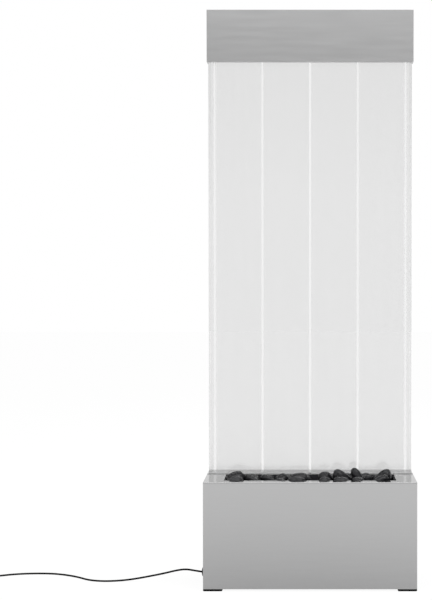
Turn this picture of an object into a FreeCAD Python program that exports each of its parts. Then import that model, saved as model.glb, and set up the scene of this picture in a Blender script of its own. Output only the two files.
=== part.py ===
"""Clear-panel water wall on a brushed-steel base box, with its pump, plumbing, pebble tray, canopy and lead.

Units are millimetres. X is the object's width, Y its depth (the front faces -Y) and Z its height. The origin is
the middle of the base's footprint, on the floor. Water is drawn from a tank in the base, rises in the two narrow
side channels of the hollow panel, spreads along a trough under the canopy and runs down inside the wide channels.
"""

import FreeCAD
import Part
import math
import os

# ---- driving dimensions ------------------------------------------------------------------------------------
TOTAL_H = 1100.0

BASE_W = 400.0
BASE_D = 180.0
BASE_TOP = 204.0  # height of the top plate's upper face
WALL_T = 1.5
TOP_T = 2.0
CORNER_R = 1.6
FLANGE_W = 38.0  # the housing's inward bottom flange
FLOOR_T = 2.0
FLOOR_GAP = 0.5
SEAL_W = 1.2  # the rubber strip in the joint between the two covers
SEAL_PROUD = 0.4
SEAL_END = 0.5

FOOT_W = 36.0
FOOT_H = 4.0
FOOT_R = 3.0

PANEL_INSET = 3.5  # from the base's side to the panel's
PANEL_T = 20.0
PANEL_SETBACK = 64.0  # from the panel's front face to the base's back
PANEL_SINK = 34.0  # the panel's foot under the top
PANEL_INTO_CANOPY = 30.0
SHEET_T = 3.0
RIB_T = 4.0
RISER_W = 6.5  # the two narrow side channels
PANEL_GAP = 0.4  # round the panel in the rear cover's notch

SLOT_END = 38.0  # from the base's side to the slot's
SLOT_MARGIN = 24.0  # from the base's front to the slot's
SLOT_TO_PANEL = 7.0

CANOPY_SIDE = 2.5  # each side beyond the panel
CANOPY_H = 100.0
CANOPY_OVERHANG = 11.0  # in front of and behind the panel
CANOPY_T = 1.2
LIP_GAP = 1.0  # from the canopy's lips to the panel
CANOPY_BACK_LIFT = 6.0  # how much higher its back edge ends than its front one
BRACKET_X = 110.0
BRACKET_W = 20.0
BRACKET_T = 2.0
BRACKET_LEG = 29.0
TAB_GAP = 0.6
TAB_H = 11.0
PAD_T = 1.0

TROUGH_T = 3.0
TROUGH_H = 25.0
SPIGOT_L = 12.0  # the trough's spigots down into the side channels
SPIGOT_T = 1.2
SPIGOT_PLAY = 0.15
GASKET_T = 2.0
SPILL_SLOT = 10.0  # depth of the trough's slots over the wide channels

CRADLE_T = 2.0
CRADLE_LEDGE = 4.5  # the front flange, which carries the front cover's rear edge
CRADLE_FLANGE = 18.0  # the rear flange, studded to the rear cover
DRAIN_W = 80.0

TRAY_GAP = 1.0
TRAY_T = 1.2
TRAY_SINK = 18.0  # the tray's underside under the top
TRAY_H = 16.5
TRAY_HOLE_R = 2.5
TRAY_HOLE_PITCH = 18.0
PEBBLE_GAP = 0.3  # from the front and back rows to the tray's walls
LEDGE_T = 1.5
LEDGE_REACH = 12.0
LEDGE_INSET = 8.0

TANK_MARGIN_X = 18.0
TANK_MARGIN_Y = 6.0
TANK_FLOOR = 40.0
TANK_RIM_SINK = 54.0  # the tank's rim under the top
TANK_T = 3.0
BLOCK_W = 34.0
BLOCK_INSET_X = 51.0
BLOCK_INSET_Y = 34.0
TANK_R = 8.0

HOSE_R = 5.5
BARB_R = 4.0
BORE_R = 2.5
BARB_L = 16.0
HOSE_DROP = 13.0  # the hoses' axis under the panel's foot
TEE_Y = 24.0
TEE_SIZE = 16.0
ELBOW_SIZE = 12.0

PUMP_SIZE = 42.0  # width and height of the motor block
MOTOR_L = 42.0
VOLUTE_L = 14.0
PUMP_LIFT = 6.0  # suction cups under the motor
SHAFT_R = 1.5
SHAFT_PLAY = 0.05
MAGNET_R = 8.0
IMPELLER_R = 15.0
ROTOR_GAP = 1.0
COVER_L = 18.0
DIAL_R = 7.0

BOX_L = 50.0
BOX_D = 34.0
BOX_H = 22.0
BOX_T = 2.0
BOX_RIGHT = -100.0

CORD_R = 1.75
CABLE_R = 2.0
GLAND_Y = -3.0
GLAND_Z = 19.5
GLAND_R = 13.0
GLAND_OUT = 8.0
SHANK_R = 7.0
NUT_FLATS = 18.0

COIL_X = -652.0
COIL_Y = 40.0
COIL_MEAN_R = 21.0
COIL_COLUMNS = 3
COIL_ROWS = 3

ADAPTER_X = -714.0
ADAPTER_W = 44.0
ADAPTER_L = 66.0
ADAPTER_H = 30.0
ADAPTER_BACK = 36.0  # Y of the end that the lead enters
RELIEF_L = 18.0
PIN_R = 2.0
PIN_L = 19.0
PIN_PITCH = 19.0

SCREW_R = 2.0
SCREW_HEAD_R = 3.8
SCREW_HEAD_H = 2.0
SCREW_HEAD_ROUND = 0.9
SOCKET_AF = 2.5
SOCKET_DEPTH = 1.2
NUT_AF = 7.0
NUT_H = 3.2

# The lead's control points, by hand: out of the gland, down to the floor, and in loose curves to the coil.
LEAD_POINTS = [
    (-208.0, -3.0, 19.5),
    (-222.0, -3.0, 21.6),
    (-239.0, -3.4, 24.7),
    (-258.0, -3.9, 22.1),
    (-281.0, -4.0, 16.4),
    (-309.0, -4.2, 10.9),
    (-340.0, -3.8, 5.2),
    (-368.0, -1.8, 1.75),
    (-398.0, -7.0, 1.75),
    (-427.0, 4.0, 1.75),
    (-450.0, 31.0, 1.75),
    (-476.0, 52.0, 1.75),
    (-505.0, 66.0, 1.75),
    (-540.0, 68.5, 1.75),
    (-576.0, 62.5, 1.75),
    (-607.0, 46.0, 1.75),
    (-630.5, 28.8, 1.75),
    (-652.0, 15.5, 1.75),
]
# The rest of the lead, from the top of the coil over its turns and round into the adapter.
TAIL_POINTS = [
    (-669.5, 42.0, 9.5),
    (-669.2, 54.0, 12.6),
    (-669.5, 70.5, 13.2),
    (-682.5, 83.5, 13.2),
    (-701.0, 83.5, 14.0),
    (-714.0, 70.8, 15.0),
    (-714.2, 54.0, 15.0),
]
# The pump's cable, from the connector box up beside the tank, over its rim and down to the motor.
CABLE_POINTS = [
    (-147.0, -13.0, 18.0),
    (-168.0, -14.5, 19.0),
    (-185.0, -19.0, 27.0),
    (-190.3, -23.0, 50.0),
    (-190.0, -25.5, 92.0),
    (-190.2, -25.0, 132.0),
    (-186.0, -24.5, 156.0),
    (-170.0, -23.0, 164.0),
    (-150.0, -18.0, 157.0),
    (-129.0, -8.0, 138.0),
    (-106.0, 6.0, 112.0),
    (-84.0, 18.0, 88.0),
    (-66.0, 23.5, 74.0),
    (-49.0, 24.0, 70.0),
]

# Pebbles of the three rows, left to right: half length, half width, half height, yaw, pitch, roll (degrees),
# and the clear space before each.
FRONT_PEBBLES = [
    (17.0, 11.6, 11.2, 12, -8, 10, 1.0),
    (14.5, 11.0, 6.8, -14, 8, 6, 0.8),
    (13.5, 11.5, 7.0, 6, 7, -8, 1.5),
    (10.6, 10.6, 9.8, 30, -9, 8, 0.6),
    (18.6, 11.6, 11.2, -6, -6, -10, 0.6),
    (13.0, 11.2, 11.0, 24, 8, -10, 24.5),
    (16.8, 11.5, 11.2, 8, 7, 8, 0.8),
    (12.6, 11.4, 11.0, -14, 8, 8, 2.8),
    (20.0, 11.5, 8.6, 4, -32, -8, 9.5),
]
MIDDLE_PEBBLES = [
    (18.0, 12.8, 13.8, 22, -16, 12, 1.0),
    (17.0, 11.6, 8.6, -12, 31, 6, 0.6),
    (16.0, 12.0, 8.4, 8, 32, -6, 0.6),
    (12.5, 11.0, 12.0, 42, -22, 10, 0.6),
    (18.5, 13.5, 12.8, -6, -10, -12, 0.6),
    (15.0, 12.0, 14.4, 56, 10, -24, 19.4),
    (20.5, 13.0, 12.0, 12, 38, 10, 0.6),
    (19.0, 11.5, 9.0, 20, 64, 10, 0.6),
    (8.0, 6.5, 11.0, 25, 8, 10, 0.6),
    (21.0, 13.0, 10.5, -10, -42, -14, 1.8),
]
BACK_PEBBLES = [
    (14.0, 11.0, 9.4, 20, 8, 8, 1.0),
    (16.5, 11.6, 9.2, -14, -5, 6, 0.6),
    (15.0, 12.0, 9.0, 12, 5, -6, 0.6),
    (18.0, 12.0, 9.2, 4, -4, 8, 0.6),
    (17.0, 12.0, 9.4, -8, 5, -8, 0.6),
    (16.0, 11.8, 9.4, 10, -5, 8, 20.0),
    (18.5, 11.8, 9.6, -6, 6, 8, 0.6),
    (13.0, 10.5, 10.6, 20, -8, -10, 0.6),
    (15.0, 11.8, 9.2, 10, 6, 8, 0.6),
    (5.4, 8.0, 8.6, 8, 5, 5, 0.6),
]

# ---- sizes that follow from them ----------------------------------------------------------------------------
HALF_D = BASE_D / 2
PANEL_W = BASE_W - 2 * PANEL_INSET
PANEL_FRONT = HALF_D - PANEL_SETBACK  # Y of the panel's front face
PANEL_FOOT = BASE_TOP - PANEL_SINK
PANEL_BACK = PANEL_FRONT + PANEL_T
PANEL_MID = PANEL_FRONT + PANEL_T / 2
CHANNEL_FRONT = PANEL_FRONT + SHEET_T
CHANNEL_BACK = PANEL_BACK - SHEET_T
CANOPY_BOTTOM = TOTAL_H - CANOPY_H
PANEL_TOP = CANOPY_BOTTOM + PANEL_INTO_CANOPY
RIB_PITCH = (PANEL_W / 2 - SHEET_T - RISER_W - RIB_T / 2) / 2
RIB_PLACES = [i * RIB_PITCH for i in (-2, -1, 0, 1, 2)]
RISER_IN = RIB_PLACES[-1] + RIB_T / 2  # the narrow side channel, from its rib to the panel's edge wall
RISER_OUT = PANEL_W / 2 - SHEET_T
RISER_MID = (RISER_IN + RISER_OUT) / 2
PLATE_BOTTOM = BASE_TOP - TOP_T
SEAL_FRONT = PANEL_FRONT - SEAL_W
SLOT_W = BASE_W - 2 * SLOT_END
SLOT_FRONT = -HALF_D + SLOT_MARGIN
SLOT_BACK = PANEL_FRONT - SLOT_TO_PANEL
FLOOR_BOTTOM = FOOT_H + WALL_T
FLOOR_TOP = FLOOR_BOTTOM + FLOOR_T
GASKET_TOP = PANEL_TOP + GASKET_T
TROUGH_FLOOR_TOP = GASKET_TOP + TROUGH_T
TROUGH_TOP = TROUGH_FLOOR_TOP + TROUGH_H
CANOPY_W = PANEL_W + 2 * CANOPY_SIDE
CANOPY_FRONT = PANEL_FRONT - CANOPY_OVERHANG
CANOPY_BACK = PANEL_BACK + CANOPY_OVERHANG
TRAY_FLOOR = BASE_TOP - TRAY_SINK
TANK_W = BASE_W - 2 * TANK_MARGIN_X
TANK_D = BASE_D - 2 * TANK_MARGIN_Y
TANK_RIM = BASE_TOP - TANK_RIM_SINK
HOSE_Z = PANEL_FOOT - HOSE_DROP
PUMP_BOTTOM = TANK_FLOOR + TANK_T + PUMP_LIFT
PUMP_AXIS_Z = PUMP_BOTTOM + PUMP_SIZE / 2
VOLUTE_X = -VOLUTE_L / 2  # the pump's outlet stands at X = 0
MOTOR_X = VOLUTE_X - MOTOR_L
COVER_X = VOLUTE_X + VOLUTE_L

X_AXIS = FreeCAD.Vector(1, 0, 0)
Y_AXIS = FreeCAD.Vector(0, 1, 0)
Z_AXIS = FreeCAD.Vector(0, 0, 1)


# ---- small helpers ------------------------------------------------------------------------------------------
def vec(x, y, z):
    return FreeCAD.Vector(x, y, z)


def block(x0, x1, y0, y1, z0, z1):
    return Part.makeBox(x1 - x0, y1 - y0, z1 - z0, vec(x0, y0, z0))


def wide(width, y0, y1, z0, z1, x=0.0):
    """A block centred on x."""
    return block(x - width / 2, x + width / 2, y0, y1, z0, z1)


def cylinder(radius, length, start, axis):
    return Part.makeCylinder(radius, length, start, axis)


def pipe(outer, inner, length, start, axis):
    return cylinder(outer, length, start, axis).cut(cylinder(inner, length, start, axis))


def cone(r0, r1, length, start, axis):
    return Part.makeCone(r0, r1, length, start, axis)


def joined(shapes):
    """One solid of shapes that touch or overlap."""
    whole = shapes[0].fuse(shapes[1:]) if len(shapes) > 1 else shapes[0]
    return whole.removeSplitter()


def cut(shape, tools):
    return shape.cut(tools) if tools else shape


def group(shapes):
    return Part.makeCompound(shapes)


def flipped(shape):
    """The same piece on the other side of the middle plane."""
    return shape.mirror(vec(0, 0, 0), X_AXIS)


def both_sides(shape):
    return group([flipped(shape), shape])


def rounded(shape, radius, axis, outside=None):
    """Fillets the straight edges that run along axis, only those on the outline if outside gives half sizes."""
    edges = []
    for edge in shape.Edges:
        if not isinstance(edge.Curve, Part.Line):
            continue
        along = edge.tangentAt(edge.FirstParameter)
        if abs(abs(along.dot(axis)) - 1) > 1e-6:
            continue
        at = edge.CenterOfMass
        if outside and (abs(abs(at.x) - outside[0]) > 0.01 or abs(abs(at.y) - outside[1]) > 0.01):
            continue
        edges.append(edge)
    return shape.makeFillet(radius, edges) if edges else shape


def softened(shape, radius):
    """Every edge filleted."""
    return shape.makeFillet(radius, shape.Edges)


def hexagon(flats, height, start, axis, across):
    """A hexagonal prism; across points from the axis to the middle of a flat."""
    side = axis.cross(across)
    reach = flats / 2 / math.cos(math.pi / 6)
    corners = []
    for i in range(6):
        a = math.radians(30 + 60 * i)
        corners.append(start + across * (reach * math.cos(a)) + side * (reach * math.sin(a)))
    face = Part.Face(Part.makePolygon(corners + corners[:1]))
    return face.extrude(axis * height)


# ---- cords, cables and hoses --------------------------------------------------------------------------------
def route(points):
    """Straight runs joined by tangent arcs, each as large as its two runs allow. Returns the wire and radii."""
    places = [vec(*p) for p in points]
    edges, radii, start = [], [], places[0]
    for before, corner, after in zip(places, places[1:], places[2:]):
        back, ahead = before - corner, after - corner
        trim = 0.45 * min(back.Length, ahead.Length)
        back.normalize()
        ahead.normalize()
        half_turn = (math.pi - back.getAngle(ahead)) / 2
        radius = trim / math.tan(half_turn)
        radii.append(radius)
        first, last = corner + back * trim, corner + ahead * trim
        bisector = back + ahead
        bisector.normalize()
        middle = corner + bisector * (radius / math.cos(half_turn) - radius)
        edges.append(Part.LineSegment(start, first).toShape())
        edges.append(Part.Arc(first, middle, last).toShape())
        start = last
    edges.append(Part.LineSegment(start, places[-1]).toShape())
    return Part.Wire(edges), radii


def swept(points, radius, name=None):
    """A round solid along a route."""
    path, radii = route(points)
    direction = vec(*points[1]) - vec(*points[0])
    ring = Part.Wire([Part.makeCircle(radius, vec(*points[0]), direction)])
    solid = path.makePipeShell([ring], True, False)
    if name:
        ideal = math.pi * radius**2 * path.Length
        print(f"{name}: length {path.Length:.1f}, volume/ideal {solid.Volume / ideal:.4f}")
        print("  radii", " ".join(f"{r:.0f}" for r in radii))
    return solid


# ---- the base -----------------------------------------------------------------------------------------------
def screw_places():
    """Where the floor plate is screwed to the housing's flange, clear of the feet."""
    inset = FLANGE_W / 2
    rows = [(x, side * (HALF_D - inset)) for side in (-1, 1) for x in (-BASE_W / 4, 0.0, BASE_W / 4)]
    ends = [(side * (BASE_W / 2 - inset), 0.0) for side in (-1, 1)]
    return rows + ends


def screw_holes(radius, z0, z1):
    return [cylinder(radius, z1 - z0, vec(x, y, z0), Z_AXIS) for x, y in screw_places()]


def base_housing():
    outer = wide(BASE_W, -HALF_D, HALF_D, FOOT_H, PLATE_BOTTOM)
    outer = rounded(outer, CORNER_R, Z_AXIS)
    inner = wide(BASE_W - 2 * WALL_T, -HALF_D + WALL_T, HALF_D - WALL_T, FLOOR_BOTTOM, PLATE_BOTTOM)
    window = wide(BASE_W - 2 * FLANGE_W, -HALF_D + FLANGE_W, HALF_D - FLANGE_W, FOOT_H, FLOOR_BOTTOM)
    gland_hole = cylinder(SHANK_R, WALL_T, vec(-BASE_W / 2, GLAND_Y, GLAND_Z), X_AXIS)
    return cut(outer, [inner, window, gland_hole] + screw_holes(SCREW_R, FOOT_H, FLOOR_BOTTOM))


def cover(y0, y1):
    """The stretch of the base's top from y0 to y1, with its rounded corners and rim."""
    plate = wide(BASE_W, -HALF_D, HALF_D, PLATE_BOTTOM, BASE_TOP)
    plate = rounded(plate, CORNER_R, Z_AXIS)
    rim = [e for e in plate.Edges if abs(e.CenterOfMass.z - BASE_TOP) < 0.01]
    plate = plate.makeFillet(TOP_T / 4, rim)
    return plate.common(wide(BASE_W, y0, y1, PLATE_BOTTOM, BASE_TOP))


def base_front_cover():
    return cover(-HALF_D, SEAL_FRONT).cut(wide(SLOT_W, SLOT_FRONT, SLOT_BACK, PLATE_BOTTOM, BASE_TOP))


def base_rear_cover():
    """Behind the joint, notched for the panel."""
    notch = wide(PANEL_W + 2 * PANEL_GAP, PANEL_FRONT, PANEL_BACK + PANEL_GAP, PLATE_BOTTOM, BASE_TOP)
    return cover(PANEL_FRONT, HALF_D).cut(notch)


def cover_seal():
    return wide(BASE_W - 2 * SEAL_END, SEAL_FRONT, PANEL_FRONT, PLATE_BOTTOM, BASE_TOP + SEAL_PROUD)


def base_floor_plate():
    half_d = HALF_D - WALL_T - FLOOR_GAP
    plate = wide(BASE_W - 2 * WALL_T - 2 * FLOOR_GAP, -half_d, half_d, FLOOR_BOTTOM, FLOOR_TOP)
    return cut(plate, screw_holes(SCREW_R, FLOOR_BOTTOM, FLOOR_TOP))


def floor_screws():
    screws = []
    for x, y in screw_places():
        low = FOOT_H - SCREW_HEAD_H
        head = cylinder(SCREW_HEAD_R, SCREW_HEAD_H, vec(x, y, low), Z_AXIS)
        bottom = [e for e in head.Edges if abs(e.CenterOfMass.z - low) < 0.01]
        head = head.makeFillet(SCREW_HEAD_ROUND, bottom[:1])
        shank = cylinder(SCREW_R, FLOOR_TOP + NUT_H - FOOT_H, vec(x, y, FOOT_H), Z_AXIS)
        socket = hexagon(SOCKET_AF, SOCKET_DEPTH, vec(x, y, low), Z_AXIS, X_AXIS)
        screws.append(joined([head, shank]).cut(socket))
    return group(screws)


def floor_nuts():
    nuts = []
    for x, y in screw_places():
        nut = hexagon(NUT_AF, NUT_H, vec(x, y, FLOOR_TOP), Z_AXIS, X_AXIS)
        nuts.append(nut.cut(cylinder(SCREW_R, NUT_H, vec(x, y, FLOOR_TOP), Z_AXIS)))
    return group(nuts)


def rubber_feet():
    feet = []
    for sx in (-1, 1):
        for sy in (-1, 1):
            x, y = sx * (BASE_W - FOOT_W) / 2, sy * (BASE_D - FOOT_W) / 2
            foot = wide(FOOT_W, y - FOOT_W / 2, y + FOOT_W / 2, 0, FOOT_H, x)
            foot = rounded(foot, FOOT_R, Z_AXIS)
            sole = [e for e in foot.Edges if abs(e.CenterOfMass.z) < 0.01]
            feet.append(foot.makeChamfer(FOOT_H / 6, sole))
    return group(feet)


# ---- the panel and what holds it ----------------------------------------------------------------------------
def panel_front_sheet():
    return wide(PANEL_W, PANEL_FRONT, CHANNEL_FRONT, PANEL_FOOT, PANEL_TOP)


def panel_back_sheet():
    return wide(PANEL_W, CHANNEL_BACK, PANEL_BACK, PANEL_FOOT, PANEL_TOP)


def panel_ribs():
    return group([wide(RIB_T, CHANNEL_FRONT, CHANNEL_BACK, PANEL_FOOT, PANEL_TOP, x) for x in RIB_PLACES])


def panel_edge_walls():
    return both_sides(block(RISER_OUT, PANEL_W / 2, CHANNEL_FRONT, CHANNEL_BACK, PANEL_FOOT, PANEL_TOP))


def wide_channels(width, y0, y1, z0, z1):
    """A block in each of the four wide channels."""
    mids = [(a + b) / 2 for a, b in zip(RIB_PLACES, RIB_PLACES[1:])]
    return [wide(width, y0, y1, z0, z1, x) for x in mids]


def riser_channels(z0, z1):
    """A block that fills each narrow side channel."""
    one = block(RISER_IN, RISER_OUT, CHANNEL_FRONT, CHANNEL_BACK, z0, z1)
    return [flipped(one), one]


def panel_cradle():
    """The hat-shaped channel that holds the panel's foot under the top, open below for the water."""
    low = PANEL_FOOT - CRADLE_T
    front, back = PANEL_FRONT - CRADLE_T, PANEL_BACK + CRADLE_T
    channel = wide(PANEL_W, front, back, low, PLATE_BOTTOM)
    inside = wide(PANEL_W, PANEL_FRONT, PANEL_BACK, PANEL_FOOT, PLATE_BOTTOM)
    flange_low = PLATE_BOTTOM - CRADLE_T
    ledge = wide(PANEL_W, front - CRADLE_LEDGE, front, flange_low, PLATE_BOTTOM)
    flange = wide(PANEL_W, back, back + CRADLE_FLANGE, flange_low, PLATE_BOTTOM)
    drains = wide_channels(DRAIN_W, CHANNEL_FRONT, CHANNEL_BACK, low, PANEL_FOOT)
    holes = [cylinder(SCREW_R, CRADLE_T, vec(x, y, flange_low), Z_AXIS) for x, y in stud_places()]
    return cut(joined([channel.cut(inside), ledge, flange]), drains + riser_channels(low, PANEL_FOOT) + holes)


def stud_places():
    """Weld studs under the rear cover that clamp the cradle's rear flange."""
    y = PANEL_BACK + CRADLE_T + CRADLE_FLANGE / 2
    return [(i * RIB_PITCH, y) for i in (-1.5, -0.5, 0.5, 1.5)]


def cradle_studs():
    length = CRADLE_T + NUT_H + CRADLE_T
    return group([cylinder(SCREW_R, length, vec(x, y, PLATE_BOTTOM - length), Z_AXIS) for x, y in stud_places()])


def cradle_nuts():
    nuts = []
    for x, y in stud_places():
        start = vec(x, y, PLATE_BOTTOM - CRADLE_T - NUT_H)
        nuts.append(hexagon(NUT_AF, NUT_H, start, Z_AXIS, X_AXIS).cut(cylinder(SCREW_R, NUT_H, start, Z_AXIS)))
    return group(nuts)


# ---- the head of the panel and the canopy -------------------------------------------------------------------
def trough_gasket():
    seal = wide(PANEL_W, PANEL_FRONT, PANEL_BACK, PANEL_TOP, GASKET_TOP)
    openings = wide_channels(RIB_PITCH - RIB_T, CHANNEL_FRONT, CHANNEL_BACK, PANEL_TOP, GASKET_TOP)
    return cut(seal, openings + riser_channels(PANEL_TOP, GASKET_TOP))


def distribution_trough():
    """Stands on the gasket on the panel's head: slots over the wide channels, spigots into the side channels."""
    body = wide(PANEL_W, PANEL_FRONT, PANEL_BACK, GASKET_TOP, TROUGH_TOP)
    above = wide(
        PANEL_W - 2 * TROUGH_T, PANEL_FRONT + TROUGH_T, PANEL_BACK - TROUGH_T, TROUGH_FLOOR_TOP, TROUGH_TOP
    )
    spills = wide_channels(
        RIB_PITCH - RIB_T, PANEL_MID - SPILL_SLOT / 2, PANEL_MID + SPILL_SLOT / 2, GASKET_TOP, TROUGH_FLOOR_TOP
    )
    low = PANEL_TOP - SPIGOT_L
    spigots = side_tubes(SPIGOT_PLAY, low, GASKET_TOP)
    bores = side_tubes(SPIGOT_PLAY + SPIGOT_T, low, TROUGH_FLOOR_TOP)
    return cut(joined([body] + spigots), [above] + spills + bores)


def side_tubes(play, z0, z1):
    """A block in each side channel, play clear of its walls all round."""
    one = block(RISER_IN + play, RISER_OUT - play, CHANNEL_FRONT + play, CHANNEL_BACK - play, z0, z1)
    return [flipped(one), one]


def canopy_shell():
    """A box folded from sheet, open below between its front and back lips; the back one is the higher."""
    outer = wide(CANOPY_W, CANOPY_FRONT, CANOPY_BACK, CANOPY_BOTTOM, TOTAL_H)
    outer = rounded(outer, CORNER_R, Z_AXIS)
    rim = [e for e in outer.Edges if abs(e.CenterOfMass.z - TOTAL_H) < 0.01]
    outer = outer.makeFillet(CANOPY_T / 2, rim)
    inside_w = CANOPY_W - 2 * CANOPY_T
    lip_top = CANOPY_BOTTOM + CANOPY_T
    ceiling = TOTAL_H - CANOPY_T
    mouth_back = PANEL_BACK + LIP_GAP
    back_edge = CANOPY_BOTTOM + CANOPY_BACK_LIFT
    front_room = wide(inside_w, CANOPY_FRONT + CANOPY_T, mouth_back, lip_top, ceiling)
    back_room = wide(inside_w, mouth_back, CANOPY_BACK - CANOPY_T, back_edge + CANOPY_T, ceiling)
    mouth = wide(inside_w, PANEL_FRONT - LIP_GAP, mouth_back, CANOPY_BOTTOM, lip_top)
    notch = wide(CANOPY_W, mouth_back, CANOPY_BACK, CANOPY_BOTTOM, back_edge)
    return cut(outer, [front_room.fuse(back_room), mouth, notch])


def canopy_brackets():
    """Two cross bars welded to the canopy's walls, with tabs that locate it on the trough."""
    low = TROUGH_TOP + PAD_T
    front, back = CANOPY_FRONT + CANOPY_T, CANOPY_BACK - CANOPY_T
    parts = [
        wide(BRACKET_W, front, back, low, low + BRACKET_T, BRACKET_X),
        wide(BRACKET_W, front, front + BRACKET_T, low, low + BRACKET_LEG, BRACKET_X),
        wide(BRACKET_W, back - BRACKET_T, back, low, low + BRACKET_LEG, BRACKET_X),
    ]
    for near in (PANEL_FRONT - TAB_GAP - BRACKET_T, PANEL_BACK + TAB_GAP):
        parts.append(wide(BRACKET_W, near, near + BRACKET_T, low - TAB_H, low, BRACKET_X))
    return both_sides(joined(parts))


def canopy_pads():
    pads = []
    for x in (-BRACKET_X, BRACKET_X):
        for y in (PANEL_FRONT, PANEL_BACK - TROUGH_T):
            pads.append(wide(BRACKET_W, y, y + TROUGH_T, TROUGH_TOP, TROUGH_TOP + PAD_T, x))
    return group(pads)


# ---- the pebble tray ----------------------------------------------------------------------------------------
def tray_ledges():
    """Angles under the slot's two ends that carry the tray."""
    end = SLOT_W / 2
    y0, y1 = SLOT_FRONT + LEDGE_INSET, SLOT_BACK - LEDGE_INSET
    leg = block(end, end + LEDGE_T, y0, y1, TRAY_FLOOR - LEDGE_T, PLATE_BOTTOM)
    ledge = block(end - LEDGE_REACH, end, y0, y1, TRAY_FLOOR - LEDGE_T, TRAY_FLOOR)
    return both_sides(joined([leg, ledge]))


def pebble_tray():
    half = SLOT_W / 2 - TRAY_GAP
    y0, y1 = SLOT_FRONT + TRAY_GAP, SLOT_BACK - TRAY_GAP
    outer = block(-half, half, y0, y1, TRAY_FLOOR, TRAY_FLOOR + TRAY_H)
    inner = block(
        -half + TRAY_T, half - TRAY_T, y0 + TRAY_T, y1 - TRAY_T, TRAY_FLOOR + TRAY_T, TRAY_FLOOR + TRAY_H
    )
    columns = int((2 * half - 2 * LEDGE_REACH - TRAY_HOLE_PITCH) / TRAY_HOLE_PITCH)
    rows = int((y1 - y0 - TRAY_HOLE_PITCH / 2) / TRAY_HOLE_PITCH)
    holes = []
    for i in range(columns + 1):
        for j in range(rows + 1):
            x, y = (i - columns / 2) * TRAY_HOLE_PITCH, (y0 + y1) / 2 + (j - rows / 2) * TRAY_HOLE_PITCH
            at = vec(x, y, TRAY_FLOOR)
            holes.append(cylinder(TRAY_HOLE_R, TRAY_T, at, Z_AXIS))
    return cut(outer, [inner] + holes)


def pebble(half_sizes, turn, x_from, y_mid, floor):
    """One ellipsoid whose left side stands at x_from and whose underside is on floor."""
    matrix = turn.toMatrix()
    rows = [(matrix.A11, matrix.A12, matrix.A13), (matrix.A21, matrix.A22, matrix.A23)]
    rows.append((matrix.A31, matrix.A32, matrix.A33))
    reach = [math.sqrt(sum((r * s) ** 2 for r, s in zip(row, half_sizes))) for row in rows]
    stretch = FreeCAD.Matrix()
    stretch.scale(vec(*half_sizes))
    stone = Part.makeSphere(1).transformGeometry(stretch)
    stone.Placement = FreeCAD.Placement(vec(x_from + reach[0], y_mid, floor + reach[2]), turn)
    return stone, reach


def pebble_row(sizes, place):
    """Stones left to right, as many as the tray is long enough for; place gives a stone's y from its reach."""
    floor = TRAY_FLOOR + TRAY_T
    end = SLOT_W / 2 - TRAY_GAP - TRAY_T
    x, stones = -end, []
    for *half_sizes, yaw, pitch, roll, space in sizes:
        turn = FreeCAD.Rotation(yaw, pitch, roll)
        _, reach = pebble(half_sizes, turn, 0, 0, 0)
        if x + space + 2 * reach[0] > end:
            break
        stones.append(pebble(half_sizes, turn, x + space, place(reach[1]), floor)[0])
        x += space + 2 * reach[0]
    return stones


def river_pebbles():
    """Three rows of polished pebbles: against the tray's front wall, down the middle and against its back."""
    front = SLOT_FRONT + TRAY_GAP + TRAY_T + PEBBLE_GAP
    back = SLOT_BACK - TRAY_GAP - TRAY_T - PEBBLE_GAP
    middle = (front + back) / 2
    return group(
        pebble_row(FRONT_PEBBLES, lambda reach: front + reach)
        + pebble_row(MIDDLE_PEBBLES, lambda reach: middle)
        + pebble_row(BACK_PEBBLES, lambda reach: back - reach)
    )


# ---- the tank and the water line ----------------------------------------------------------------------------
def reservoir_tank():
    half_d = TANK_D / 2
    outer = rounded(wide(TANK_W, -half_d, half_d, TANK_FLOOR, TANK_RIM), TANK_R, Z_AXIS)
    inner = wide(
        TANK_W - 2 * TANK_T, -half_d + TANK_T, half_d - TANK_T, TANK_FLOOR + TANK_T, TANK_RIM
    )
    return outer.cut(rounded(inner, TANK_R - TANK_T, Z_AXIS))


def tank_support_blocks():
    blocks = []
    for sx in (-1, 1):
        for sy in (-1, 1):
            x, y = sx * (TANK_W / 2 - BLOCK_INSET_X), sy * (TANK_D / 2 - BLOCK_INSET_Y)
            blocks.append(wide(BLOCK_W, y - BLOCK_W / 2, y + BLOCK_W / 2, FLOOR_TOP, TANK_FLOOR, x))
    return group(blocks)


def riser_nozzles():
    """Elbows pushed up into the foot of the side channels, with a barb towards the middle."""
    under = PANEL_FOOT - CRADLE_T
    plug = side_tubes(SPIGOT_PLAY, under, PANEL_FOOT + BARB_L)[1]
    half = ELBOW_SIZE / 2
    elbow = block(RISER_MID - half, RISER_MID + half, PANEL_MID - half, PANEL_MID + half, HOSE_Z - half, under)
    barb = cylinder(BARB_R, BARB_L, vec(RISER_MID - half - BARB_L, PANEL_MID, HOSE_Z), X_AXIS)
    rise = cylinder(BORE_R, PANEL_FOOT + BARB_L - HOSE_Z, vec(RISER_MID, PANEL_MID, HOSE_Z), Z_AXIS)
    run = cylinder(BORE_R, half + BARB_L, vec(RISER_MID - half - BARB_L, PANEL_MID, HOSE_Z), X_AXIS)
    return both_sides(cut(joined([plug, elbow, barb]), [rise, run]))


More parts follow.
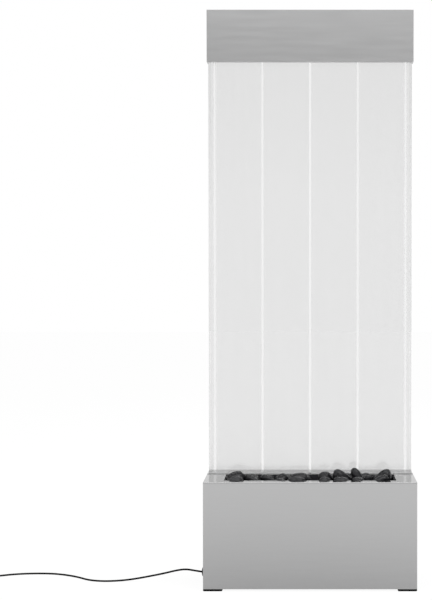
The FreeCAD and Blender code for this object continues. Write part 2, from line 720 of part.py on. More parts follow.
def hose_tee():
    half = TEE_SIZE / 2
    y0, y1 = TEE_Y - half, TEE_Y + half
    body = rounded(block(-half, half, y0, y1, HOSE_Z - half, HOSE_Z + half), 2.0, Z_AXIS)
    reach = half + BARB_L
    arms = cylinder(BARB_R, 2 * reach, vec(-reach, TEE_Y, HOSE_Z), X_AXIS)
    leg = cylinder(BARB_R, reach, vec(0, TEE_Y, HOSE_Z - reach), Z_AXIS)
    across = cylinder(BORE_R, 2 * reach, vec(-reach, TEE_Y, HOSE_Z), X_AXIS)
    down = cylinder(BORE_R, reach, vec(0, TEE_Y, HOSE_Z - reach), Z_AXIS)
    return cut(joined([body, arms, leg]), [across, down])


def side_hose():
    """From the tee to the right-hand nozzle, with straight ends over both barbs."""
    start, end = TEE_SIZE / 2, RISER_MID - ELBOW_SIZE / 2
    run = end - start
    points = [
        (start, TEE_Y, HOSE_Z),
        (start + 0.205 * run, TEE_Y, HOSE_Z),
        (start + 0.41 * run, TEE_Y + 4.0, HOSE_Z),
        (start + 0.63 * run, PANEL_MID - 6.0, HOSE_Z),
        (end - 0.155 * run, PANEL_MID, HOSE_Z),
        (end, PANEL_MID, HOSE_Z),
    ]
    return swept(points, HOSE_R).cut(swept(points, BARB_R))


def pump_hose():
    low = PUMP_BOTTOM + PUMP_SIZE + 2.0
    top = HOSE_Z - TEE_SIZE / 2
    return pipe(HOSE_R, BARB_R, top - low, vec(0, TEE_Y, low), Z_AXIS)


# ---- the pump -----------------------------------------------------------------------------------------------
def on_pump_axis(x):
    return vec(x, TEE_Y, PUMP_AXIS_Z)


def pump_body():
    """The potted motor block with the rotor's well and the volute in front of it."""
    half = PUMP_SIZE / 2
    y0, y1 = TEE_Y - half, TEE_Y + half
    motor = block(MOTOR_X, VOLUTE_X, y0, y1, PUMP_BOTTOM, PUMP_BOTTOM + PUMP_SIZE)
    motor = rounded(motor, 5.0, X_AXIS)
    volute = cylinder(half, VOLUTE_L, on_pump_axis(VOLUTE_X), X_AXIS)
    neck = cylinder(6.0, half + 2.0, on_pump_axis(0), Z_AXIS)
    well = cylinder(MAGNET_R + ROTOR_GAP, MOTOR_L - 10.0, on_pump_axis(MOTOR_X + 10.0), X_AXIS)
    chamber = cylinder(IMPELLER_R + ROTOR_GAP, VOLUTE_L, on_pump_axis(VOLUTE_X), X_AXIS)
    outlet = cylinder(BARB_R, half + 2.0, on_pump_axis(0), Z_AXIS)
    shaft_seat = cylinder(SHAFT_R, 4.0, on_pump_axis(MOTOR_X + 6.0), X_AXIS)
    cable_seat = cylinder(CABLE_R, 3.0, on_pump_axis(MOTOR_X), X_AXIS)
    return cut(joined([motor, volute, neck]), [well, chamber, outlet, shaft_seat, cable_seat])


def pump_outlet_nozzle():
    low = PUMP_BOTTOM + PUMP_SIZE
    seat = low - 3.0
    tube = cylinder(BARB_R, BARB_L + 5.0, vec(0, TEE_Y, seat), Z_AXIS)
    return tube.cut(cylinder(BORE_R, BARB_L + 5.0, vec(0, TEE_Y, seat), Z_AXIS))


def pump_shaft():
    start = MOTOR_X + 6.0
    return cylinder(SHAFT_R, COVER_X - 0.5 - start, on_pump_axis(start), X_AXIS)


def pump_magnet():
    start = MOTOR_X + 10.0 + ROTOR_GAP
    length = VOLUTE_X - start
    return pipe(MAGNET_R, SHAFT_R + SHAFT_PLAY, length, on_pump_axis(start), X_AXIS)


def pump_impeller():
    """A hub and a back disc with six straight blades, on the front of the magnet."""
    disc_t, hub_r, blade_t = 2.0, 4.0, 1.6
    length = VOLUTE_L - 2 * ROTOR_GAP
    disc = cylinder(IMPELLER_R, disc_t, on_pump_axis(VOLUTE_X), X_AXIS)
    hub = cylinder(hub_r, length, on_pump_axis(VOLUTE_X), X_AXIS)
    blades = []
    for i in range(6):
        y, z = TEE_Y, PUMP_AXIS_Z
        blade = block(VOLUTE_X, VOLUTE_X + length, y - blade_t / 2, y + blade_t / 2, z, z + IMPELLER_R - 0.5)
        blade.rotate(on_pump_axis(0), X_AXIS, 60 * i)
        blades.append(blade)
    bore = cylinder(SHAFT_R + SHAFT_PLAY, length, on_pump_axis(VOLUTE_X), X_AXIS)
    return joined([disc, hub] + blades).cut(bore)


def pump_strainer_cover():
    """The cap over the volute: a flat ring and a slotted cage that keeps grit out."""
    gap = 0.3
    face = COVER_X + gap
    ring_t, cage_r, wall = 2.5, 16.0, 1.8
    half = PUMP_SIZE / 2
    ring = cylinder(half, ring_t, on_pump_axis(face), X_AXIS)
    cage = cylinder(cage_r, COVER_L, on_pump_axis(face), X_AXIS)
    hollow = cylinder(cage_r - wall, COVER_L - wall, on_pump_axis(face), X_AXIS)
    slots = []
    for i in range(12):
        slot = block(
            face + ring_t + 1.5,
            face + COVER_L - wall - 1.5,
            TEE_Y - 1.2,
            TEE_Y + 1.2,
            PUMP_AXIS_Z + cage_r - 2 * wall,
            PUMP_AXIS_Z + cage_r + wall,
        )
        slot.rotate(on_pump_axis(0), X_AXIS, 30 * i + 15)
        slots.append(slot)
    pivot = cylinder(SHAFT_R, 3.0, on_pump_axis(face + COVER_L), X_AXIS)
    return cut(joined([ring, cage, pivot]), [hollow] + slots)


def pump_flow_dial():
    """The flow control: a knurled disc that turns on the cover's pivot."""
    start = COVER_X + 0.3 + COVER_L + 0.3
    disc = cylinder(DIAL_R, 2.6, on_pump_axis(start), X_AXIS)
    notches = []
    for i in range(16):
        notch = cylinder(0.7, 2.6, on_pump_axis(start) + vec(0, 0, DIAL_R), X_AXIS)
        notch.rotate(on_pump_axis(0), X_AXIS, 22.5 * i)
        notches.append(notch)
    lever = block(start, start + 2.6, TEE_Y - 1.5, TEE_Y + 1.5, PUMP_AXIS_Z + DIAL_R - 2, PUMP_AXIS_Z + DIAL_R + 4)
    bore = cylinder(SHAFT_R + SHAFT_PLAY, 2.6, on_pump_axis(start), X_AXIS)
    return cut(joined([disc.cut(notches), lever]), [bore])


def pump_suction_cups():
    cups = []
    low = TANK_FLOOR + TANK_T
    for x in (MOTOR_X + 9.0, VOLUTE_X - 9.0):
        for y in (TEE_Y - 12.0, TEE_Y + 12.0):
            skirt = cone(8.0, 3.5, PUMP_LIFT - 2.0, vec(x, y, low), Z_AXIS)
            neck = cylinder(3.5, PUMP_LIFT, vec(x, y, low), Z_AXIS)
            dish = cone(6.0, 1.0, PUMP_LIFT - 3.5, vec(x, y, low), Z_AXIS)
            cups.append(joined([skirt, neck]).cut(dish))
    return group(cups)


def pump_cable():
    return swept(CABLE_POINTS, CABLE_R, "pump_cable")


# ---- the electrical entry -----------------------------------------------------------------------------------
def connector_box():
    x0, y0 = BOX_RIGHT - BOX_L, GLAND_Y - BOX_D / 2
    outer = rounded(block(x0, BOX_RIGHT, y0, y0 + BOX_D, FLOOR_TOP, FLOOR_TOP + BOX_H), 2.0, Z_AXIS)
    inner = block(
        x0 + BOX_T, BOX_RIGHT - BOX_T, y0 + BOX_T, y0 + BOX_D - BOX_T, FLOOR_TOP + BOX_T, FLOOR_TOP + BOX_H
    )
    lead = cylinder(CORD_R, BOX_T, vec(x0, GLAND_Y, GLAND_Z), X_AXIS)
    return cut(outer, [inner, lead]).cut(pump_cable_hole())


def pump_cable_hole():
    return swept(CABLE_POINTS[:3], CABLE_R)


def connector_lid():
    x0, y0 = BOX_RIGHT - BOX_L, GLAND_Y - BOX_D / 2
    low = FLOOR_TOP + BOX_H
    return rounded(block(x0, BOX_RIGHT, y0, y0 + BOX_D, low, low + BOX_T), 2.0, Z_AXIS)


def inner_lead():
    """The lead's own stretch from the gland's mouth into the connector box."""
    start = -BASE_W / 2 - GLAND_OUT
    return cylinder(CORD_R, BOX_RIGHT - BOX_L + 5.0 - start, vec(start, GLAND_Y, GLAND_Z), X_AXIS)


def gland_body():
    """A low black dome outside the wall on a shank that passes through it."""
    wall = -BASE_W / 2
    rim_t, mouth_r = 2.0, 4.0
    at = vec(wall, GLAND_Y, GLAND_Z)
    rim_corner = vec(wall - rim_t, GLAND_Y, GLAND_Z + GLAND_R)
    mouth_corner = vec(wall - GLAND_OUT, GLAND_Y, GLAND_Z + mouth_r)
    crown = vec(wall - GLAND_OUT * 0.78, GLAND_Y, GLAND_Z + GLAND_R * 0.68)
    profile = Part.Wire(
        [
            Part.LineSegment(at, vec(wall, GLAND_Y, GLAND_Z + GLAND_R)).toShape(),
            Part.LineSegment(vec(wall, GLAND_Y, GLAND_Z + GLAND_R), rim_corner).toShape(),
            Part.Arc(rim_corner, crown, mouth_corner).toShape(),
            Part.LineSegment(mouth_corner, vec(wall - GLAND_OUT, GLAND_Y, GLAND_Z)).toShape(),
            Part.LineSegment(vec(wall - GLAND_OUT, GLAND_Y, GLAND_Z), at).toShape(),
        ]
    )
    dome = Part.Face(profile).revolve(at, X_AXIS, 360)
    shank_l = WALL_T + 10.0
    shank = cylinder(SHANK_R, shank_l, at, X_AXIS)
    lead = cylinder(CORD_R, GLAND_OUT + shank_l, vec(wall - GLAND_OUT, GLAND_Y, GLAND_Z), X_AXIS)
    return joined([dome, shank]).cut(lead)


def gland_seal():
    start = -BASE_W / 2 + WALL_T
    return pipe(NUT_FLATS / 2, SHANK_R, 1.0, vec(start, GLAND_Y, GLAND_Z), X_AXIS)


def gland_locknut():
    start = vec(-BASE_W / 2 + WALL_T + 1.0, GLAND_Y, GLAND_Z)
    return hexagon(NUT_FLATS, 5.0, start, X_AXIS, Z_AXIS).cut(cylinder(SHANK_R, 5.0, start, X_AXIS))


# ---- the lead outside ---------------------------------------------------------------------------------------
def power_cord():
    return swept(LEAD_POINTS, CORD_R, "power_cord")


def cord_coil():
    """The outer shape of the wound part of the lead."""
    half = COIL_COLUMNS * CORD_R
    height = COIL_ROWS * 2 * CORD_R
    return pipe(COIL_MEAN_R + half, COIL_MEAN_R - half, height, vec(COIL_X, COIL_Y, 0), Z_AXIS)


def cord_tie():
    """A strap over the coil's section, down to the floor on both sides."""
    strap_t, strap_w = 1.0, 8.0
    half = COIL_COLUMNS * CORD_R
    height = COIL_ROWS * 2 * CORD_R
    mid = COIL_X + COIL_MEAN_R
    y0, y1 = COIL_Y - strap_w / 2, COIL_Y + strap_w / 2
    hoop = block(mid - half - strap_t, mid + half + strap_t, y0, y1, 0, height + strap_t)
    return hoop.cut(cord_coil())


def cord_tail():
    return swept(TAIL_POINTS, CORD_R, "cord_tail")


def adapter_relief():
    end = vec(ADAPTER_X, ADAPTER_BACK, ADAPTER_H / 2)
    sleeve = cone(4.5, 2.6, RELIEF_L, end, Y_AXIS)
    return sleeve.cut(swept(TAIL_POINTS, CORD_R))


def adapter_body():
    half = ADAPTER_W / 2
    y0 = ADAPTER_BACK - ADAPTER_L
    body = block(ADAPTER_X - half, ADAPTER_X + half, y0, ADAPTER_BACK, 0, ADAPTER_H)
    return softened(body, 3.0)


def adapter_pins():
    y = ADAPTER_BACK - ADAPTER_L
    pins = []
    for side in (-1, 1):
        x = ADAPTER_X + side * PIN_PITCH / 2
        pin = cylinder(PIN_R, PIN_L, vec(x, y - PIN_L, ADAPTER_H / 2), Y_AXIS)
        tip = [e for e in pin.Edges if abs(e.CenterOfMass.y - (y - PIN_L)) < 0.01]
        pins.append(pin.makeFillet(0.8, tip[:1]))
    return group(pins)


NODES = {
    "base_housing": base_housing,
    "base_front_cover": base_front_cover,
    "base_rear_cover": base_rear_cover,
    "cover_seal": cover_seal,
    "base_floor_plate": base_floor_plate,
    "floor_screws": floor_screws,
    "floor_nuts": floor_nuts,
    "rubber_feet": rubber_feet,
    "panel_front_sheet": panel_front_sheet,
    "panel_back_sheet": panel_back_sheet,
    "panel_ribs": panel_ribs,
    "panel_edge_walls": panel_edge_walls,
    "panel_cradle": panel_cradle,
    "cradle_studs": cradle_studs,
    "cradle_nuts": cradle_nuts,
    "trough_gasket": trough_gasket,
    "distribution_trough": distribution_trough,
    "canopy_shell": canopy_shell,
    "canopy_brackets": canopy_brackets,
    "canopy_pads": canopy_pads,
    "tray_ledges": tray_ledges,
    "pebble_tray": pebble_tray,
    "river_pebbles": river_pebbles,
    "reservoir_tank": reservoir_tank,
    "tank_support_blocks": tank_support_blocks,
    "riser_nozzles": riser_nozzles,
    "hose_tee": hose_tee,
    "hose_right": side_hose,
    "hose_left": lambda: flipped(side_hose()),
    "pump_hose": pump_hose,
    "pump_body": pump_body,
    "pump_outlet_nozzle": pump_outlet_nozzle,
    "pump_shaft": pump_shaft,
    "pump_magnet": pump_magnet,
    "pump_impeller": pump_impeller,
    "pump_strainer_cover": pump_strainer_cover,
    "pump_flow_dial": pump_flow_dial,
    "pump_suction_cups": pump_suction_cups,
    "pump_cable": pump_cable,
    "connector_box": connector_box,
    "connector_lid": connector_lid,
    "inner_lead": inner_lead,
    "gland_body": gland_body,
    "gland_seal": gland_seal,
    "gland_locknut": gland_locknut,
    "power_cord": power_cord,
    "cord_coil": cord_coil,
    "cord_tie": cord_tie,
    "cord_tail": cord_tail,
    "adapter_relief": adapter_relief,
    "adapter_body": adapter_body,
    "adapter_pins": adapter_pins,
}


def main():
    os.makedirs("parts", exist_ok=True)
    for name, make in NODES.items():
        make().exportStep(os.path.join("parts", name + ".step"))


main()
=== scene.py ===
"""Looks of the water wall: brushed steel, clear panel, river pebbles and lead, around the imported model.

Lengths are metres. The front faces -Y and the floor is z = 0.
"""
import math
import random

import bmesh
import bpy
from mathutils import Matrix, Vector, noise


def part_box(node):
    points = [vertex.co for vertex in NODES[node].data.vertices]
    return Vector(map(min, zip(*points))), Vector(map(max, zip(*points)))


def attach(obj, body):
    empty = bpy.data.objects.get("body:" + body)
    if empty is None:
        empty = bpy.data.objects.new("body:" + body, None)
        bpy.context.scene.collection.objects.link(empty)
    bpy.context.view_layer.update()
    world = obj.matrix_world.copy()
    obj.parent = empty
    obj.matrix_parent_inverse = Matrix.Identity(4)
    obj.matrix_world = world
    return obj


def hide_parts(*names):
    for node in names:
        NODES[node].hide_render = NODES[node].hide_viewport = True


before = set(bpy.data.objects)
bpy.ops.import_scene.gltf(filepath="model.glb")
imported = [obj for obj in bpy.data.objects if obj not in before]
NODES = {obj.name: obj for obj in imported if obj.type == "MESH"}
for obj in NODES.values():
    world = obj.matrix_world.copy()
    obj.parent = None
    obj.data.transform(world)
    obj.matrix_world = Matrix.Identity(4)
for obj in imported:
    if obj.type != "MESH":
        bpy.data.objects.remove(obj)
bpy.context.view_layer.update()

# ---- places read from the frame ------------------------------------------------------------------
SHEET_LOW, SHEET_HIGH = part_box("panel_front_sheet")
BACK_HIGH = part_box("panel_back_sheet")[1]
COVER_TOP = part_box("base_rear_cover")[1][2]
PANEL_MID_Y = (SHEET_LOW[1] + BACK_HIGH[1]) / 2
PANEL_T = BACK_HIGH[1] - SHEET_LOW[1]
SHEET_T = SHEET_HIGH[1] - SHEET_LOW[1]
RIB_T = 0.004
RIB_PITCH = 0.0925

# ---- camera --------------------------------------------------------------------------------------
EYE = Vector((0.0, -2.878, 0.5967))
TILT_DOWN = math.radians(1.107)
SENSOR = 36.0
LENS = 90.0
SIDE_SHIFT = -0.1568  # the object stands right of the middle of the picture
RISE_SHIFT = 0.0009

# ---- the lead ------------------------------------------------------------------------------------
CORD_D = 0.0035
LEAD_POINTS = [
    (-0.208, -0.003, 0.0195),
    (-0.222, -0.003, 0.0216),
    (-0.239, -0.0034, 0.0247),
    (-0.258, -0.0039, 0.0221),
    (-0.281, -0.004, 0.0164),
    (-0.309, -0.0042, 0.0109),
    (-0.340, -0.0038, 0.0052),
    (-0.368, -0.0018, 0.00175),
    (-0.398, -0.007, 0.00175),
    (-0.427, 0.004, 0.00175),
    (-0.450, 0.031, 0.00175),
    (-0.476, 0.052, 0.00175),
    (-0.505, 0.066, 0.00175),
    (-0.540, 0.0685, 0.00175),
    (-0.576, 0.0625, 0.00175),
    (-0.607, 0.046, 0.00175),
    (-0.6305, 0.0288, 0.00175),
]
TAIL_POINTS = [
    (-0.6692, 0.054, 0.0126),
    (-0.6695, 0.0705, 0.0132),
    (-0.6825, 0.0835, 0.0132),
    (-0.701, 0.0835, 0.014),
    (-0.714, 0.0708, 0.015),
    (-0.7142, 0.054, 0.015),
]
COIL_CENTRE = (-0.652, 0.040)
COIL_RADII = (0.0245, 0.021, 0.0175)  # three columns of turns, from the outside in
COIL_ROWS = 3
TURN_POINTS = 14
STEP_IN_FROM = 0.92  # the share of a column after which its last turn moves in to the next column


def add_camera():
    data = bpy.data.cameras.new("camera")
    data.sensor_width = SENSOR
    data.lens = LENS
    data.shift_x = SIDE_SHIFT
    data.shift_y = RISE_SHIFT
    data.clip_end = 60
    camera = bpy.data.objects.new("camera", data)
    camera.location = EYE
    camera.rotation_euler = (math.pi / 2 - TILT_DOWN, 0, 0)
    bpy.context.scene.collection.objects.link(camera)
    bpy.context.scene.camera = camera


def coil_points():
    """Three columns of three turns each, wound clockwise from the outside in, ending on top."""
    points = []
    swell = 1 / math.cos(math.pi / TURN_POINTS)  # control points lie outside the round line they make
    turn = 0.0
    start = -math.pi / 2
    columns = len(COIL_RADII)
    steps = TURN_POINTS * COIL_ROWS
    for column, radius in enumerate(COIL_RADII):
        inner = COIL_RADII[min(column + 1, columns - 1)]
        for i in range(steps):
            share = i / steps
            up = share if column % 2 == 0 else 1 - share
            z = CORD_D * (0.5 + up * (COIL_ROWS - 1))
            step_in = max(0.0, (share - STEP_IN_FROM) / (1 - STEP_IN_FROM))
            r = (radius + (inner - radius) * step_in) * swell
            angle = start - turn
            x, y = COIL_CENTRE[0] + r * math.cos(angle), COIL_CENTRE[1] + r * math.sin(angle)
            points.append((x, y, z))
            turn += 2 * math.pi / TURN_POINTS
    return points


def add_cord(material):
    curve = bpy.data.curves.new("power_lead", "CURVE")
    curve.dimensions = "3D"
    curve.bevel_depth = CORD_D / 2
    curve.bevel_resolution = 5
    curve.resolution_u = 6
    curve.use_fill_caps = True
    spline = curve.splines.new("NURBS")
    points = LEAD_POINTS + coil_points() + TAIL_POINTS
    spline.points.add(len(points) - 1)
    for control, place in zip(spline.points, points):
        control.co = (*place, 1.0)
    spline.order_u = 3
    spline.use_endpoint_u = True
    cord = bpy.data.objects.new("power_lead", curve)
    bpy.context.scene.collection.objects.link(cord)
    curve.materials.append(material)
    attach(cord, "base")
    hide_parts("power_cord", "cord_coil", "cord_tail")


# ---- material helpers ----------------------------------------------------------------------------
NOISE_RANGE = (0.3, 0.7)  # noise stays mostly between these


class Shader:
    """A material whose node tree is built a node at a time."""

    def __init__(self, name):
        self.material = bpy.data.materials.new(name)
        self.material.use_nodes = True
        self.tree = self.material.node_tree
        self.tree.nodes.clear()

    @classmethod
    def within(cls, tree):
        """Works on a tree that belongs to something else."""
        shader = cls.__new__(cls)
        shader.tree = tree
        tree.nodes.clear()
        return shader

    def add(self, kind, inputs=None, **settings):
        node = self.tree.nodes.new("ShaderNode" + kind)
        for key, value in settings.items():
            setattr(node, key, value)
        for key, value in (inputs or {}).items():
            socket = node.inputs[key]
            if isinstance(value, bpy.types.NodeSocket):
                self.tree.links.new(value, socket)
            else:
                socket.default_value = value
        return node

    def maths(self, operation, a, b=0.0, c=0.0):
        return self.add("Math", {0: a, 1: b, 2: c}, operation=operation).outputs[0]

    def blend(self, factor, a, b):
        return self.add("Mix", {0: factor, 2: a, 3: b}, data_type="FLOAT").outputs[0]

    def place(self):
        return self.add("TexCoord").outputs["Object"]

    def split(self, vector):
        return self.add("SeparateXYZ", {0: vector}).outputs

    def joined(self, x, y, z):
        return self.add("CombineXYZ", {0: x, 1: y, 2: z}).outputs[0]

    def scaled(self, vector, by):
        return self.add("VectorMath", {0: vector, 1: by}, operation="MULTIPLY").outputs[0]

    def noise(self, vector, scale, detail=3.0, roughness=0.5):
        made = self.add(
            "TexNoise", {"Vector": vector, "Scale": scale, "Detail": detail, "Roughness": roughness}
        )
        return made.outputs["Fac"]

    def ranged(self, value, low, high, out_low, out_high):
        ends = {"From Min": low, "From Max": high, "To Min": out_low, "To Max": out_high}
        return self.add("MapRange", {"Value": value, **ends}).outputs["Result"]

    def spread(self, noise_value, out_low, out_high):
        """Noise stretched from its usual range to the one given."""
        return self.ranged(noise_value, *NOISE_RANGE, out_low, out_high)

    def ramp(self, value, stops):
        made = self.add("ValToRGB", {"Fac": value})
        elements = made.color_ramp.elements
        while len(elements) < len(stops):
            elements.new(0.5)
        for element, (at, colour) in zip(elements, stops):
            element.position = at
            element.color = (*colour, 1.0)
        return made.outputs["Color"]

    def two_tone(self, noise_value, dark, light):
        return self.ramp(noise_value, list(zip(NOISE_RANGE, (dark, light))))

    def bump(self, height, strength, distance):
        made = self.add("Bump", {"Height": height, "Strength": strength, "Distance": distance})
        return made.outputs["Normal"]

    def grey(self, level):
        return self.add("CombineColor", {0: level, 1: level, 2: level}).outputs[0]

    def mixed(self, factor, a, b):
        """Two shaders, b by the factor's share."""
        return self.add("MixShader", {0: factor, 1: a, 2: b}).outputs[0]

    def finish(self, shader):
        self.add("OutputMaterial", {"Surface": shader})
        return self.material

    def principled(self, **inputs):
        named = {key.replace("_", " "): value for key, value in inputs.items()}
        return self.finish(self.add("BsdfPrincipled", named).outputs["BSDF"])


def shade(colour, factor):
    return tuple(c * factor for c in colour)


# ---- materials -----------------------------------------------------------------------------------
FINE_STREAKS = (14.0, 1400.0)  # noise cells a metre, along the brushing and across it
SMUDGES = (9.0, 120.0)
BRUSHING_DEPTH = 0.00002
GLOSS_SPREAD = 0.12  # how far the roughness strays from its mean, as a share of it
SEAM_SHADE_HALF = 0.0003  # half the height of the painted shade line at a joint, and where its soft edge ends
SEAM_SHADE_END = 0.0012
# the share of the colour left in the painted shade line at a joint
SEAM_SHADE_TONE = 0.6
CANOPY_STEEL = (0.436, 0.436, 0.438)
BASE_STEEL = (0.519, 0.519, 0.521)
COVER_STEEL = (0.81, 0.81, 0.812)

FOOT_FADE = 0.045  # the panel's dimming at its foot halves over this height
FOOT_DIM = 0.05
CAULK_H = 0.0034  # pale caulk just above the covers
CAULK_SHARE = 0.92
RIB_MARGIN = 0.0001  # what shows clear beside a rib, here and more with each metre from the middle
RIB_FLARE = 0.004
OUTER_PASS = (0.948, 0.950)  # the light that a face of the sheets lets through
WET_PASS = (0.926, 0.930)
EDGE_PASS = (0.985, 0.992)
FACING_SHINE = 0.03  # the share that a face of clear sheet mirrors, seen straight on and at a slant
GRAZING_SHINE = 0.9


def brushed_steel(name, level, rough, spread, bump, shaded_seam=None, edge=1.0):
    """Steel brushed along X: long fine streaks and softer smudges in colour and gloss.

    A joint height, if given, gets a thin dark line of painted shade in the colour, and edge is the tone of
    the upright faces against the level ones, painted shade where it is below 1.
    """
    s = Shader(name)
    x, y, z = s.split(s.place())
    upward = s.maths("ABSOLUTE", s.split(s.add("NewGeometry").outputs["Normal"])[2])
    on_top = s.maths("GREATER_THAN", upward, 0.5)
    across = s.blend(on_top, z, y)
    along = s.maths("ADD", x, s.blend(on_top, y, 0.0))

    def brushed(cells, layer, detail):
        place = s.joined(s.maths("MULTIPLY", along, cells[0]), s.maths("MULTIPLY", across, cells[1]), layer)
        return s.noise(place, 1.0, detail)

    fine = brushed(FINE_STREAKS, 0.0, 2.0)
    streaks = s.blend(0.5, fine, brushed(SMUDGES, 3.0, 3.0))
    colour = s.two_tone(streaks, shade(level, 1 - spread), shade(level, 1 + spread))
    # painted shade: upright faces take the colour times edge, so they read darker than the level ones
    tone = s.blend(on_top, edge, 1.0)
    # painted shade: a thin dark line in the colour at the joint's height, standing in for the shade in the
    # gap
    if shaded_seam:
        away = s.maths("ABSOLUTE", s.maths("SUBTRACT", z, shaded_seam))
        tone = s.maths("MULTIPLY", tone, s.ranged(away, SEAM_SHADE_HALF, SEAM_SHADE_END, SEAM_SHADE_TONE, 1.0))
    colour = s.add("VectorMath", {0: colour, "Scale": tone}, operation="SCALE").outputs[0]
    return s.principled(
        Base_Color=colour,
        Metallic=1.0,
        Roughness=s.spread(streaks, rough * (1 - GLOSS_SPREAD), rough * (1 + GLOSS_SPREAD)),
        Normal=s.bump(fine, bump, BRUSHING_DEPTH),
    )


def zinc_plate():
    """Bright zinc with a faint spangle."""
    s = Shader("zinc")
    place = s.place()
    cells = s.add("TexVoronoi", {"Vector": place, "Scale": 90.0}).outputs["Color"]
    tone = s.add("SeparateColor", {0: cells}).outputs[0]
    mottle = s.blend(0.5, tone, s.noise(place, 25.0))
    return s.principled(
        Base_Color=s.ramp(mottle, [(0.2, (0.36, 0.37, 0.39)), (0.8, (0.50, 0.51, 0.53))]),
        Metallic=1.0,
        Roughness=s.ranged(mottle, 0.2, 0.8, 0.32, 0.48),
        Normal=s.bump(mottle, 0.1, 0.0001),
    )


def moulded(name, dark, light, rough, texture=900.0, bump=0.25, shine=0.5):
    """Moulded plastic or rubber: fine spark texture and slightly uneven tone."""
    s = Shader(name)
    place = s.place()
    broad = s.noise(place, 18.0, 3.0)
    grain = s.noise(place, texture, 2.0)
    return s.principled(
        Base_Color=s.two_tone(broad, dark, light),
        Roughness=s.spread(grain, rough - 0.06, rough + 0.06),
        Specular_IOR_Level=shine,
        Normal=s.bump(grain, bump, 0.0001),
    )


def clear_tube():
    """Soft clear hose, slightly hazy."""
    s = Shader("clear_tube")
    place = s.place()
    haze = s.noise(place, 60.0, 3.0)
    clear = s.add("BsdfTransparent", {"Color": (0.86, 0.89, 0.9, 1)}).outputs[0]
    milky = s.two_tone(haze, (0.72, 0.75, 0.76), (0.86, 0.88, 0.88))
    body = s.add("BsdfPrincipled", {"Base Color": milky, "Roughness": 0.12}).outputs["BSDF"]
    return s.finish(s.mixed(s.spread(haze, 0.32, 0.5), clear, body))


def see_through(s, passed):
    """A face of clear sheet: the share passed goes straight through, and more is mirrored at a slant."""
    facing = s.add("LayerWeight", {"Blend": 0.5}).outputs["Facing"]
    slant = s.maths("POWER", facing, 5.0)
    shine = s.maths("MULTIPLY_ADD", slant, GRAZING_SHINE - FACING_SHINE, FACING_SHINE)
    through = s.add("BsdfTransparent", {"Color": s.grey(passed)}).outputs[0]
    mirror = s.add("BsdfGlossy", {"Color": (1, 1, 1, 1), "Roughness": 0.02}).outputs[0]
    return s.mixed(shine, through, mirror)


def rib_mask(s, x):
    """1 over each rib and the clear fillet beside it, and 0 between them."""
    nearest = s.maths("PINGPONG", x, RIB_PITCH / 2)  # distance from the nearest multiple of the pitch
    reach = s.maths("MULTIPLY_ADD", s.maths("ABSOLUTE", x), RIB_FLARE, RIB_T / 2 + RIB_MARGIN)
    return s.maths("LESS_THAN", nearest, reach)


def sheet_acrylic():
    """The panel's two sheets: clear, with a wet film on the channel side and clean bonds on the ribs."""
    s = Shader("sheet_acrylic")
    place = s.place()
    x, y, z = s.split(place)
    from_middle = s.maths("ABSOLUTE", s.maths("SUBTRACT", y, PANEL_MID_Y))
    inside = s.maths("LESS_THAN", from_middle, PANEL_T / 2 - SHEET_T / 2)
    bonded = rib_mask(s, x)
    runs = s.noise(s.scaled(place, (90.0, 1.0, 3.0)), 1.0, 2.0)
    outer = s.spread(runs, *OUTER_PASS)
    wet = s.spread(runs, *WET_PASS)
    above = s.maths("MULTIPLY", s.maths("SUBTRACT", z, COVER_TOP), 1 / FOOT_FADE)
    fade = s.maths("SUBTRACT", 1.0, s.maths("MULTIPLY", s.maths("POWER", 0.5, above), FOOT_DIM))
    film = s.maths("MULTIPLY", inside, s.maths("SUBTRACT", 1.0, bonded))
    sheet = see_through(s, s.blend(film, outer, s.maths("MULTIPLY", wet, fade)))
    bond = s.add("BsdfTransparent", {"Color": (0.99, 0.99, 0.99, 1)}).outputs[0]
    bare = s.mixed(s.maths("MULTIPLY", inside, bonded), sheet, bond)
    caulk = s.add("BsdfDiffuse", {"Color": (0.9, 0.9, 0.9, 1)}).outputs[0]
    in_front = s.maths("MULTIPLY", inside, s.maths("LESS_THAN", y, PANEL_MID_Y))
    caulked = s.maths("MULTIPLY", s.maths("LESS_THAN", z, COVER_TOP + CAULK_H), in_front)
    return s.finish(s.mixed(s.maths("MULTIPLY", caulked, CAULK_SHARE), bare, caulk))


def rib_acrylic():
    """The ribs: bonded front and back, with frosted sides that catch the light."""
    s = Shader("rib_acrylic")
    place = s.place()
    frost = s.noise(s.scaled(place, (300.0, 300.0, 20.0)), 1.0, 3.0)
    normal = s.split(s.add("NewGeometry").outputs["Normal"])
    side = s.maths("GREATER_THAN", s.maths("ABSOLUTE", normal[0]), 0.5)
    pale = s.two_tone(frost, (0.9, 0.91, 0.91), (0.97, 0.975, 0.975))
    white = s.add("BsdfPrincipled", {"Base Color": pale, "Roughness": 0.3}).outputs["BSDF"]
    clear = s.add("BsdfTransparent", {"Color": (1, 1, 1, 1)}).outputs[0]
    share = s.maths("MULTIPLY", side, s.spread(frost, 0.3, 0.42))
    return s.finish(s.mixed(share, clear, white))


def edge_acrylic():
    """The panel's outer edge walls, polished."""
    s = Shader("edge_acrylic")
    haze = s.noise(s.place(), 45.0, 3.0)
    return s.finish(see_through(s, s.spread(haze, *EDGE_PASS)))


def pebble_stone():
    """Dark polished river stone, softly mottled, with a few pale grains."""
    s = Shader("pebble_stone")
    place = s.place()
    mottle = s.noise(place, 55.0, 5.0, 0.6)
    fleck = s.noise(place, 900.0, 2.0, 0.5)
    grain = s.maths("MULTIPLY", s.maths("GREATER_THAN", fleck, 0.7), 0.05)
    colour = s.ramp(
        s.maths("ADD", mottle, grain),
        [(0.3, (0.008, 0.008, 0.0095)), (0.55, (0.019, 0.019, 0.0215)), (0.8, (0.04, 0.04, 0.044))],
    )
    return s.principled(
        Base_Color=colour,
        Roughness=s.spread(mottle, 0.22, 0.36),
        Specular_IOR_Level=0.42,
        Normal=s.bump(s.noise(place, 240.0, 4.0), 0.2, 0.0003),
    )


